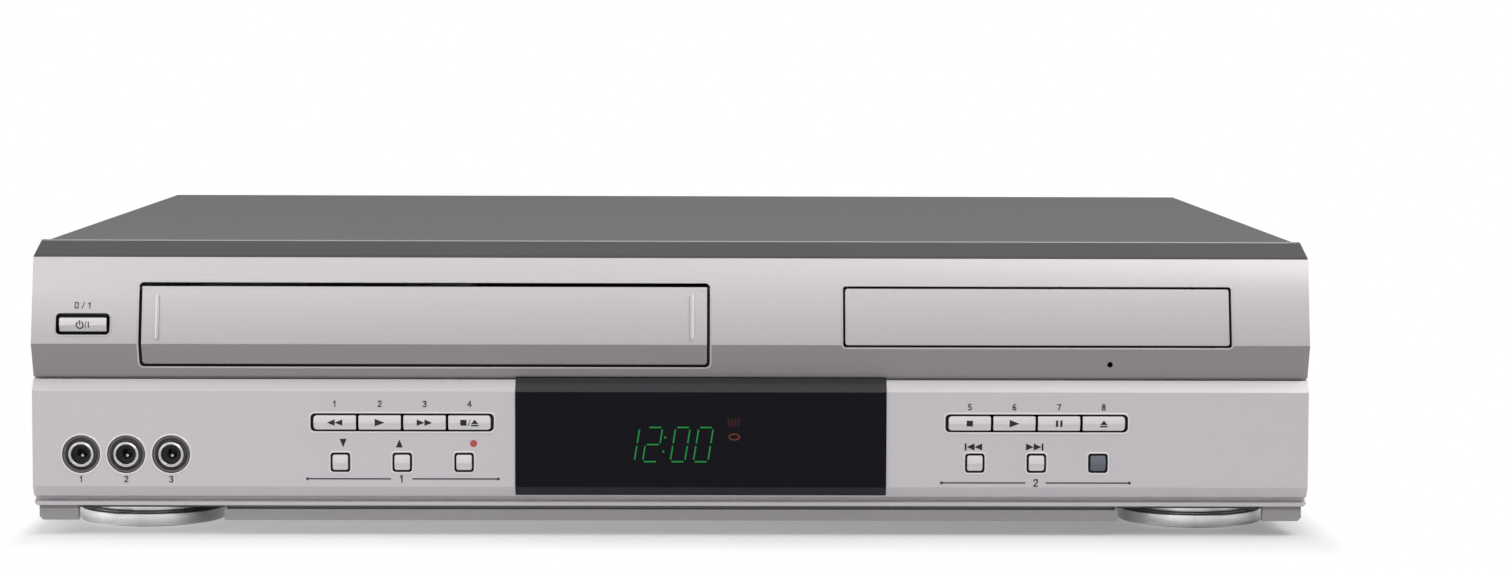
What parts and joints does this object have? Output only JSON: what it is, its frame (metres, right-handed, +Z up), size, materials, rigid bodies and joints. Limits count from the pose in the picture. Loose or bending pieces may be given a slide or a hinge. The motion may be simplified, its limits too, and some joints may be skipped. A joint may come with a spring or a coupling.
{
  "type": "dvd vcr combo player",
  "caption": "Low wide home player with a tape door, a sliding disc tray, a dark display window, push buttons and round front feet.",
  "frame": {"origin": "on the floor, under the middle of the player's overall box", "axes": "+X to the right seen from the front, +Y to the back, +Z up; the front panel faces -Y"},
  "size_m": [0.43, 0.36, 0.0995],
  "materials": {
    "front_silver": "fine metallic silver paint, satin",
    "band_grey": "dark metallic grey paint, satin",
    "bezel_grey": "dark grey, satin",
    "cover_paint": "dark grey textured enamel",
    "window_black": "smoked, polished",
    "button_silver": "metallic silver, satin",
    "button_grey": "blue grey, satin",
    "steel": "zinc plated sheet",
    "foot_silver": "turned, satin silver",
    "rubber": "matt",
    "dark_plastic": "moulded, matt",
    "white_plastic": "acetal, natural",
    "drum_alloy": "diamond turned",
    "board_green": "circuit board with parts",
    "board_tan": "paper laminate board with parts"
  },
  "bodies": {
    "root": {"chassis_pan": "steel", "top_cover": "cover_paint", "rear_panel": "steel", "front_panel": "front_silver", "top_bezel": "bezel_grey", "band_trim": "band_grey", "display_window": "window_black", "front_feet": "foot_silver", "rear_feet": "dark_plastic", "foot_pads": "rubber", "cover_screws": "steel", "display_module": "dark_plastic", "front_board": "board_tan", "front_jack_block": "dark_plastic", "front_jack_shells": "steel", "door_spring": "steel", "deck_plate": "steel", "carriage_frame": "steel", "drum_base": "drum_alloy", "capstan_bearing": "drum_alloy", "loader_frame": "dark_plastic", "clamp_bridge": "steel", "main_board": "board_green", "power_board": "board_tan", "tuner_module": "steel", "rear_jacks": "dark_plastic", "mains_inlet": "dark_plastic"},
    "door": {"cassette_door": "front_silver", "door_band": "band_grey"},
    "carriage": {"carriage_slides": "white_plastic"},
    "holder": {"cassette_holder": "steel"},
    "drum": {"drum_rotor": "drum_alloy"},
    "supply": {"supply_reel": "white_plastic"},
    "takeup": {"takeup_reel": "white_plastic"},
    "capstan": {"capstan_rotor": "steel"},
    "pinch": {"pinch_lever": "steel"},
    "roller": {"pinch_roller": "rubber"},
    "tray": {"disc_tray": "dark_plastic", "tray_front": "front_silver"},
    "gear": {"tray_gear": "white_plastic"},
    "sub_chassis": {"traverse": "dark_plastic"},
    "spindle": {"turntable": "rubber"},
    "sled": {"pickup_sled": "dark_plastic"},
    "clamp": {"clamp_disc": "white_plastic"},
    "power_key": {"power_button": "button_silver"},
    "tape_rewind_key": {"tape_rewind_button": "button_silver"},
    "tape_play_key": {"tape_play_button": "button_silver"},
    "tape_forward_key": {"tape_forward_button": "button_silver"},
    "tape_eject_key": {"tape_eject_button": "button_silver"},
    "channel_down_key": {"channel_down_button": "button_silver"},
    "channel_up_key": {"channel_up_button": "button_silver"},
    "record_key": {"record_button": "button_silver"},
    "disc_stop_key": {"disc_stop_button": "button_silver"},
    "disc_play_key": {"disc_play_button": "button_silver"},
    "disc_pause_key": {"disc_pause_button": "button_silver"},
    "disc_open_key": {"disc_open_button": "button_silver"},
    "skip_back_key": {"skip_back_button": "button_silver"},
    "skip_forward_key": {"skip_forward_button": "button_silver"},
    "scan_key": {"scan_button": "button_grey"}
  },
  "joints": [
    {"name": "door_swing", "type": "hinge", "parent": "root", "child": "door", "pos_m": [-0.0832, -0.17379, 0.0833], "axis": [1, 0, 0], "range_deg": [0, 108], "stiffness_Nm_per_rad": 0.01},
    {"name": "carriage_travel", "type": "slide", "parent": "root", "child": "carriage", "axis": [0, 1, 0], "range_m": [0, 0.07]},
    {"name": "holder_drop", "type": "slide", "parent": "carriage", "child": "holder", "axis": [0, 0, -1], "range_m": [0, 0.03]},
    {"name": "drum_spin", "type": "hinge", "parent": "root", "child": "drum", "pos_m": [-0.0772, 0.049, 0.0252], "axis": [0, 0.0872, 0.9962], "continuous": true},
    {"name": "supply_reel_spin", "type": "hinge", "parent": "root", "child": "supply", "pos_m": [-0.1289, -0.051, 0.026], "axis": [0, 0, 1], "continuous": true},
    {"name": "takeup_reel_spin", "type": "hinge", "parent": "root", "child": "takeup", "pos_m": [-0.0375, -0.051, 0.026], "axis": [0, 0, 1], "continuous": true},
    {"name": "capstan_spin", "type": "hinge", "parent": "root", "child": "capstan", "pos_m": [-0.0272, 0.017, 0.024], "axis": [0, 0, 1], "continuous": true},
    {"name": "pinch_swing", "type": "hinge", "parent": "root", "child": "pinch", "pos_m": [-0.0062, 0.041, 0.032], "axis": [0, 0, -1], "range_deg": [0, 15]},
    {"name": "pinch_roller_spin", "type": "hinge", "parent": "pinch", "child": "roller", "pos_m": [-0.0122, 0.015, 0.04], "axis": [0, 0, 1], "continuous": true},
    {"name": "tray_slide", "type": "slide", "parent": "root", "child": "tray", "axis": [0, -1, 0], "range_m": [0, 0.137]},
    {"name": "tray_gear_turn", "type": "hinge", "parent": "root", "child": "gear", "pos_m": [0.08605, -0.153, 0.07], "axis": [0, 0, 1], "range_deg": [-6, 540]},
    {"name": "traverse_lift", "type": "hinge", "parent": "root", "child": "sub_chassis", "pos_m": [0.12305, -0.0032, 0.061], "axis": [-1, 0, 0], "range_deg": [0, 3]},
    {"name": "spindle_spin", "type": "hinge", "parent": "sub_chassis", "child": "spindle", "pos_m": [0.12305, -0.1012, 0.07], "axis": [0, 0, 1], "continuous": true},
    {"name": "sled_travel", "type": "slide", "parent": "sub_chassis", "child": "sled", "axis": [0, 1, 0], "range_m": [0, 0.035]},
    {"name": "clamp_spin", "type": "hinge", "parent": "root", "child": "clamp", "pos_m": [0.12305, -0.1012, 0.082], "axis": [0, 0, 1], "continuous": true},
    {"name": "power_press", "type": "slide", "parent": "root", "child": "power_key", "axis": [0, 1, 0], "range_m": [0, 0.0008], "stiffness_N_per_m": 600},
    {"name": "tape_rewind_press", "type": "slide", "parent": "root", "child": "tape_rewind_key", "axis": [0, 1, 0], "range_m": [0, 0.0008], "stiffness_N_per_m": 600},
    {"name": "tape_play_press", "type": "slide", "parent": "root", "child": "tape_play_key", "axis": [0, 1, 0], "range_m": [0, 0.0008], "stiffness_N_per_m": 600},
    {"name": "tape_forward_press", "type": "slide", "parent": "root", "child": "tape_forward_key", "axis": [0, 1, 0], "range_m": [0, 0.0008], "stiffness_N_per_m": 600},
    {"name": "tape_eject_press", "type": "slide", "parent": "root", "child": "tape_eject_key", "axis": [0, 1, 0], "range_m": [0, 0.0008], "stiffness_N_per_m": 600},
    {"name": "channel_down_press", "type": "slide", "parent": "root", "child": "channel_down_key", "axis": [0, 1, 0], "range_m": [0, 0.0008], "stiffness_N_per_m": 600},
    {"name": "channel_up_press", "type": "slide", "parent": "root", "child": "channel_up_key", "axis": [0, 1, 0], "range_m": [0, 0.0008], "stiffness_N_per_m": 600},
    {"name": "record_press", "type": "slide", "parent": "root", "child": "record_key", "axis": [0, 1, 0], "range_m": [0, 0.0008], "stiffness_N_per_m": 600},
    {"name": "disc_stop_press", "type": "slide", "parent": "root", "child": "disc_stop_key", "axis": [0, 1, 0], "range_m": [0, 0.0008], "stiffness_N_per_m": 600},
    {"name": "disc_play_press", "type": "slide", "parent": "root", "child": "disc_play_key", "axis": [0, 1, 0], "range_m": [0, 0.0008], "stiffness_N_per_m": 600},
    {"name": "disc_pause_press", "type": "slide", "parent": "root", "child": "disc_pause_key", "axis": [0, 1, 0], "range_m": [0, 0.0008], "stiffness_N_per_m": 600},
    {"name": "disc_open_press", "type": "slide", "parent": "root", "child": "disc_open_key", "axis": [0, 1, 0], "range_m": [0, 0.0008], "stiffness_N_per_m": 600},
    {"name": "skip_back_press", "type": "slide", "parent": "root", "child": "skip_back_key", "axis": [0, 1, 0], "range_m": [0, 0.0008], "stiffness_N_per_m": 600},
    {"name": "skip_forward_press", "type": "slide", "parent": "root", "child": "skip_forward_key", "axis": [0, 1, 0], "range_m": [0, 0.0008], "stiffness_N_per_m": 600},
    {"name": "scan_press", "type": "slide", "parent": "root", "child": "scan_key", "axis": [0, 1, 0], "range_m": [0, 0.0008], "stiffness_N_per_m": 600}
  ],
  "couplings": [
    {"joint": "tray_gear_turn", "follows": "tray_slide", "rad_per_m": 66.667}
  ]
}
